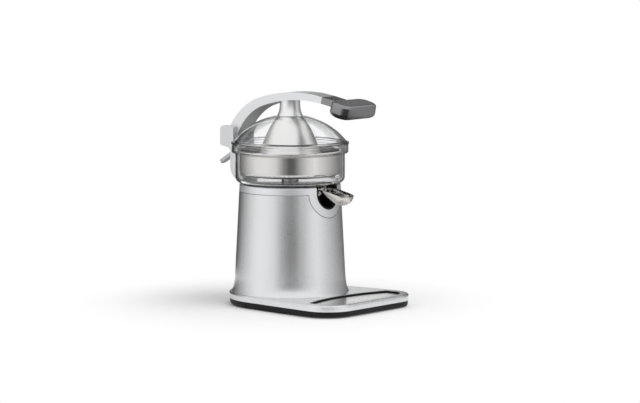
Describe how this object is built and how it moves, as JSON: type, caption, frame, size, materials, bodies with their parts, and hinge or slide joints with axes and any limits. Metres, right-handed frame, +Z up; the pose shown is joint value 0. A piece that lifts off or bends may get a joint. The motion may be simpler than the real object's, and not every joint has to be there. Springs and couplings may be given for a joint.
{
  "type": "electric citrus press",
  "caption": "Electric citrus press: tapered silver body on a wide base, clear bowl and domed lid, bell-shaped press on a curved hinged arm with a dark grip, tilting steel spout.",
  "frame": {"origin": "on the standing surface under the feet, on the drive spindle's axis", "axes": "+Z up along the drive spindle, -Y to the front where the spout is, +X to the object's left"},
  "size_m": [0.194, 0.2866, 0.2997],
  "materials": {
    "silver_paint": "satin silver paint",
    "arm_metal": "satin cast",
    "lever_metal": "satin cast",
    "black_plastic": "matt black",
    "grip_plastic": "dark grey, soft sheen",
    "sheet_steel": "polished sheet",
    "clear_plastic": "clear",
    "reamer_plastic": "moulded",
    "rubber": "moulded",
    "shaft_steel": "ground",
    "screw_steel": "plated",
    "bronze": "sintered",
    "gear_plastic": "moulded",
    "motor_steel": "dark, plain"
  },
  "bodies": {
    "housing": {"base_plate": "silver_paint", "body_shell": "silver_paint", "top_collar": "silver_paint", "hinge_bracket": "arm_metal", "base_pan": "black_plastic", "drip_pan": "black_plastic", "spout_well": "black_plastic", "cord_gland": "black_plastic", "micro_switch": "black_plastic", "gearbox_housing": "black_plastic", "strainer": "sheet_steel", "juice_bowl": "clear_plastic", "rubber_feet": "rubber", "spindle_seal": "rubber", "idler_pin": "shaft_steel", "hinge_pin": "shaft_steel", "lever_pin": "shaft_steel", "spout_pins": "shaft_steel", "spring_washer": "shaft_steel", "base_screws": "screw_steel", "body_screws": "screw_steel", "bracket_screws": "screw_steel", "motor_screws": "screw_steel", "gearbox_screws": "screw_steel", "spindle_bush": "bronze", "motor_can": "motor_steel"},
    "arm": {"press_arm": "arm_metal", "arm_bushes": "bronze", "arm_grip": "grip_plastic", "grip_screws": "screw_steel", "bell_neck": "arm_metal", "bell_stud": "shaft_steel", "press_bell": "sheet_steel", "lid": "clear_plastic"},
    "spout": {"spout": "sheet_steel"},
    "release_lever": {"release_lever": "lever_metal"},
    "thrust": {"thrust_cup": "shaft_steel"},
    "spindle": {"drive_spindle": "shaft_steel", "output_gear": "gear_plastic", "reamer": "reamer_plastic"},
    "idler": {"idler_gear": "gear_plastic"},
    "rotor": {"motor_pinion": "bronze", "motor_shaft": "shaft_steel"},
    "drip": {"drip_plate": "sheet_steel"}
  },
  "joints": [
    {"name": "arm_hinge", "type": "hinge", "parent": "housing", "child": "arm", "pos_m": [0, 0.1, 0.233], "axis": [-1, 0, 0], "range_deg": [0, 80]},
    {"name": "spout_tilt", "type": "hinge", "parent": "housing", "child": "spout", "pos_m": [0, -0.062, 0.16], "axis": [-1, 0, 0], "range_deg": [0, 24]},
    {"name": "lever_pivot", "type": "hinge", "parent": "housing", "child": "release_lever", "pos_m": [0, 0.099, 0.211], "axis": [1, 0, 0], "range_deg": [0, 20], "stiffness_Nm_per_rad": 0.05, "springref_deg": -11.46},
    {"name": "press_slide", "type": "slide", "parent": "housing", "child": "thrust", "axis": [0, 0, -1], "range_m": [0, 0.0012], "stiffness_N_per_m": 8000, "springref_m": -0.0012, "deforming": ["spring_washer"]},
    {"name": "spindle_spin", "type": "hinge", "parent": "thrust", "child": "spindle", "pos_m": [0, 0, 0.15], "axis": [0, 0, 1], "continuous": true},
    {"name": "idler_spin", "type": "hinge", "parent": "housing", "child": "idler", "pos_m": [0, 0.03, 0.15], "axis": [0, 0, 1], "continuous": true},
    {"name": "rotor_spin", "type": "hinge", "parent": "housing", "child": "rotor", "pos_m": [0.03, 0.03, 0.14], "axis": [0, 0, 1], "continuous": true},
    {"name": "drip_lift", "type": "slide", "parent": "housing", "child": "drip", "axis": [0, 0, 1], "range_m": [0, 0.02]}
  ],
  "couplings": [
    {"joint": "spindle_spin", "follows": "idler_spin", "ratio": -0.25},
    {"joint": "rotor_spin", "follows": "idler_spin", "ratio": -4}
  ]
}
